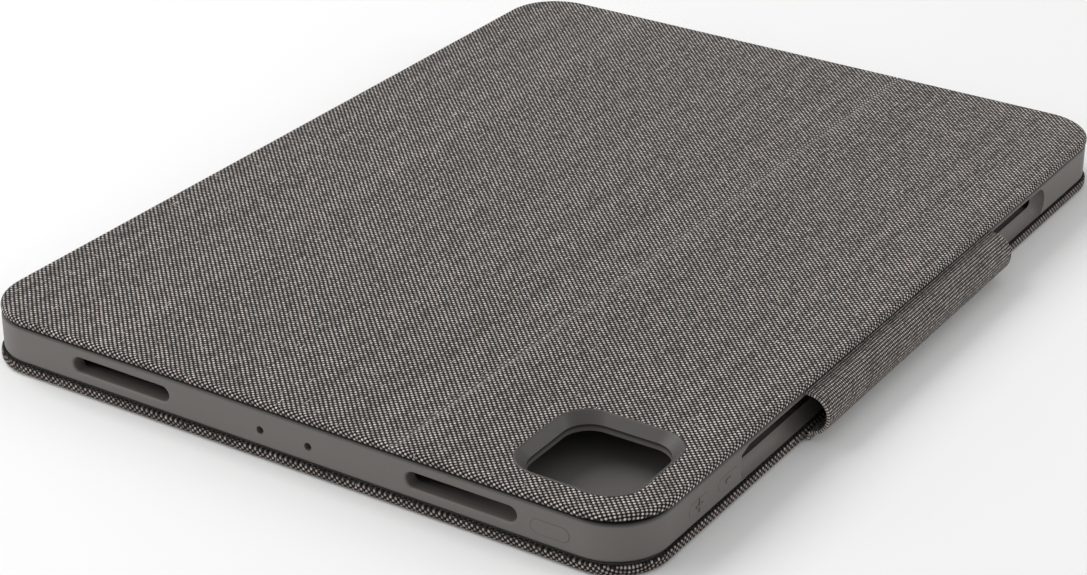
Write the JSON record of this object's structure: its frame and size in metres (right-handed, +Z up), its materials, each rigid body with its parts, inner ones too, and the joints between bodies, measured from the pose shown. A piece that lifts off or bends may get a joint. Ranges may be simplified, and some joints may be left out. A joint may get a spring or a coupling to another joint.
{
  "type": "tablet keyboard case",
  "caption": "Folding case for a tablet: soft tray with a woven back, kickstand, stylus loop and latch, joined by a folding spine to a thin keyboard with a trackpad.",
  "frame": {"origin": "centre of the keyboard's flat underside, midway between the case's short edges and between the latch edge and the spine edge of the woven panels", "axes": "+X along the long edges, away from the camera opening; +Y from the latch edge to the spine; +Z up through the closed case to the woven back"},
  "size_m": [0.256, 0.1975, 0.0156],
  "materials": {
    "woven_cloth": "plain weave of light warm grey and near-black yarns",
    "soft_shell": "satin warm grey thermoplastic rubber",
    "deck_skin": "matt soft-touch grey",
    "key_plastic": "fine matt moulded caps",
    "pad_surface": "smooth satin surface",
    "steel_plate": "bright rolled sheet",
    "stiff_board": "black glass-fibre board",
    "magnet_metal": "nickel-plated magnets",
    "circuit_sheet": "green circuit board and sheet",
    "dome_rubber": "translucent white silicone rubber",
    "black_plastic": "black moulded plastic",
    "contact_brass": "gold-plated brass",
    "cable_film": "amber polyimide flat cable"
  },
  "bodies": {
    "keyboard": {"base_cover": "woven_cloth", "base_plate": "steel_plate", "key_circuit": "circuit_sheet", "key_domes": "dome_rubber", "deck_cover": "deck_skin", "controller_board": "circuit_sheet", "keyboard_magnets": "magnet_metal", "pad_switch": "black_plastic"},
    "trackpad": {"trackpad": "pad_surface", "trackpad_frame": "steel_plate"},
    "function_keys": {"function_keys": "key_plastic"},
    "number_keys": {"number_keys": "key_plastic"},
    "upper_keys": {"upper_keys": "key_plastic"},
    "home_keys": {"home_keys": "key_plastic"},
    "lower_keys": {"lower_keys": "key_plastic"},
    "bottom_keys": {"bottom_keys": "key_plastic"},
    "backspace_key": {"backspace_key": "key_plastic"},
    "tab_key": {"tab_key": "key_plastic"},
    "caps_key": {"caps_key": "key_plastic"},
    "return_key": {"return_key": "key_plastic"},
    "left_shift_key": {"left_shift_key": "key_plastic"},
    "right_shift_key": {"right_shift_key": "key_plastic"},
    "space_bar": {"space_bar": "key_plastic"},
    "spine": {"spine_strip": "woven_cloth", "spine_cable": "cable_film"},
    "tray": {"spine_tab": "woven_cloth", "tray_shell": "soft_shell", "screen_lip": "soft_shell", "tray_back": "soft_shell", "panel_core": "stiff_board", "back_cover": "woven_cloth", "camera_bezel": "soft_shell", "tray_magnets": "magnet_metal", "connector_block": "black_plastic", "fixed_leaves": "steel_plate", "latch_anchor": "woven_cloth"},
    "contact_pin_1": {"contact_pin_1": "contact_brass"},
    "contact_pin_2": {"contact_pin_2": "contact_brass"},
    "contact_pin_3": {"contact_pin_3": "contact_brass"},
    "power_button": {"power_button": "soft_shell"},
    "volume_up_button": {"volume_up_button": "soft_shell"},
    "volume_down_button": {"volume_down_button": "soft_shell"},
    "kickstand": {"kickstand_plate": "stiff_board", "kickstand_cover": "woven_cloth", "moving_leaves": "steel_plate", "hinge_pins": "steel_plate", "kickstand_magnets": "magnet_metal"},
    "latch": {"latch_cover": "woven_cloth", "latch_core": "stiff_board", "latch_magnets": "magnet_metal"}
  },
  "joints": [
    {"name": "spine_low_fold", "type": "hinge", "parent": "keyboard", "child": "spine", "pos_m": [0, 0.09585, 0.001], "axis": [-1, 0, 0], "range_deg": [0, 180]},
    {"name": "spine_high_fold", "type": "hinge", "parent": "spine", "child": "tray", "pos_m": [0, 0.096, 0.0091], "axis": [-1, 0, 0], "range_deg": [0, 180]},
    {"name": "kickstand_hinge", "type": "hinge", "parent": "tray", "child": "kickstand", "pos_m": [0, -0.031, 0.0143], "axis": [-1, 0, 0], "range_deg": [-120, 0]},
    {"name": "latch_fold", "type": "hinge", "parent": "tray", "child": "latch", "pos_m": [0, -0.0955, 0.0133], "axis": [-1, 0, 0], "range_deg": [0, 110]},
    {"name": "trackpad_click", "type": "slide", "parent": "keyboard", "child": "trackpad", "axis": [0, 0, 1], "range_m": [-0.0003, 0], "stiffness_N_per_m": 3000, "springref_m": 0.0002},
    {"name": "function_keys_press", "type": "slide", "parent": "keyboard", "child": "function_keys", "axis": [0, 0, 1], "range_m": [-0.0009, 0], "stiffness_N_per_m": 5600, "springref_m": 0.0005},
    {"name": "number_keys_press", "type": "slide", "parent": "keyboard", "child": "number_keys", "axis": [0, 0, 1], "range_m": [-0.0009, 0], "stiffness_N_per_m": 5200, "springref_m": 0.0005},
    {"name": "upper_keys_press", "type": "slide", "parent": "keyboard", "child": "upper_keys", "axis": [0, 0, 1], "range_m": [-0.0009, 0], "stiffness_N_per_m": 5200, "springref_m": 0.0005},
    {"name": "home_keys_press", "type": "slide", "parent": "keyboard", "child": "home_keys", "axis": [0, 0, 1], "range_m": [-0.0009, 0], "stiffness_N_per_m": 4400, "springref_m": 0.0005},
    {"name": "lower_keys_press", "type": "slide", "parent": "keyboard", "child": "lower_keys", "axis": [0, 0, 1], "range_m": [-0.0009, 0], "stiffness_N_per_m": 4000, "springref_m": 0.0005},
    {"name": "bottom_keys_press", "type": "slide", "parent": "keyboard", "child": "bottom_keys", "axis": [0, 0, 1], "range_m": [-0.0009, 0], "stiffness_N_per_m": 3600, "springref_m": 0.0005},
    {"name": "backspace_key_press", "type": "slide", "parent": "keyboard", "child": "backspace_key", "axis": [0, 0, 1], "range_m": [-0.0009, 0], "stiffness_N_per_m": 400, "springref_m": 0.0005},
    {"name": "tab_key_press", "type": "slide", "parent": "keyboard", "child": "tab_key", "axis": [0, 0, 1], "range_m": [-0.0009, 0], "stiffness_N_per_m": 400, "springref_m": 0.0005},
    {"name": "caps_key_press", "type": "slide", "parent": "keyboard", "child": "caps_key", "axis": [0, 0, 1], "range_m": [-0.0009, 0], "stiffness_N_per_m": 400, "springref_m": 0.0005},
    {"name": "return_key_press", "type": "slide", "parent": "keyboard", "child": "return_key", "axis": [0, 0, 1], "range_m": [-0.0009, 0], "stiffness_N_per_m": 400, "springref_m": 0.0005},
    {"name": "left_shift_key_press", "type": "slide", "parent": "keyboard", "child": "left_shift_key", "axis": [0, 0, 1], "range_m": [-0.0009, 0], "stiffness_N_per_m": 400, "springref_m": 0.0005},
    {"name": "right_shift_key_press", "type": "slide", "parent": "keyboard", "child": "right_shift_key", "axis": [0, 0, 1], "range_m": [-0.0009, 0], "stiffness_N_per_m": 400, "springref_m": 0.0005},
    {"name": "space_bar_press", "type": "slide", "parent": "keyboard", "child": "space_bar", "axis": [0, 0, 1], "range_m": [-0.0009, 0], "stiffness_N_per_m": 400, "springref_m": 0.0005},
    {"name": "contact_pin_1_press", "type": "slide", "parent": "tray", "child": "contact_pin_1", "axis": [0, 0, 1], "range_m": [0, 0.0006], "stiffness_N_per_m": 500, "springref_m": -0.0004},
    {"name": "contact_pin_2_press", "type": "slide", "parent": "tray", "child": "contact_pin_2", "axis": [0, 0, 1], "range_m": [0, 0.0006], "stiffness_N_per_m": 500, "springref_m": -0.0004},
    {"name": "contact_pin_3_press", "type": "slide", "parent": "tray", "child": "contact_pin_3", "axis": [0, 0, 1], "range_m": [0, 0.0006], "stiffness_N_per_m": 500, "springref_m": -0.0004},
    {"name": "power_button_press", "type": "slide", "parent": "tray", "child": "power_button", "axis": [1, 0, 0], "range_m": [0, 0.0004], "stiffness_N_per_m": 2500, "springref_m": -0.0002},
    {"name": "volume_up_press", "type": "slide", "parent": "tray", "child": "volume_up_button", "axis": [0, 1, 0], "range_m": [0, 0.0004], "stiffness_N_per_m": 2500, "springref_m": -0.0002},
    {"name": "volume_down_press", "type": "slide", "parent": "tray", "child": "volume_down_button", "axis": [0, 1, 0], "range_m": [0, 0.0004], "stiffness_N_per_m": 2500, "springref_m": -0.0002}
  ]
}
